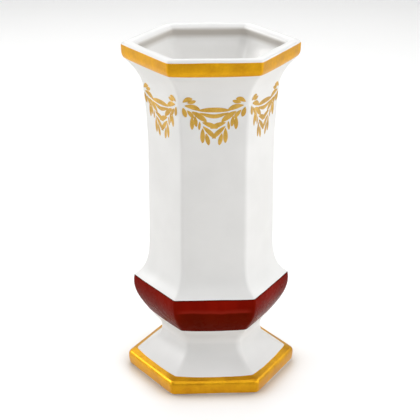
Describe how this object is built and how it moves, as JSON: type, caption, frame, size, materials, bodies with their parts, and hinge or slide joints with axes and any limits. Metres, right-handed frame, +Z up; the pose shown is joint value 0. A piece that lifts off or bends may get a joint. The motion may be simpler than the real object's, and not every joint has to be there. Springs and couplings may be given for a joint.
{
  "type": "vase",
  "caption": "Tall hexagonal porcelain vase with a flared gilt rim, laurel swags, an oxblood enamel belly and a hollow pedestal foot; holds cut flowers and water.",
  "frame": {"origin": "centre of the foot ring, on the table", "axes": "+Z up along the vase's axis; two of the six faces look along -Y (the front) and +Y, and two corners point along +X and -X"},
  "size_m": [0.1528, 0.1334, 0.3],
  "materials": {
    "porcelain": "satin",
    "slip": "satin",
    "clear_glaze": "gloss",
    "gilding": "polished",
    "oxblood_enamel": "polished",
    "printed_gold": "satin"
  },
  "bodies": {
    "root": {"vessel": "porcelain", "pedestal": "porcelain", "luting_slip": "slip", "interior_glaze": "clear_glaze", "rim_gilding": "gilding", "belly_enamel": "oxblood_enamel", "foot_gilding": "gilding", "swag_front": "printed_gold", "swag_front_right": "printed_gold", "swag_back_right": "printed_gold", "swag_back": "printed_gold", "swag_back_left": "printed_gold", "swag_front_left": "printed_gold"}
  },
  "joints": []
}
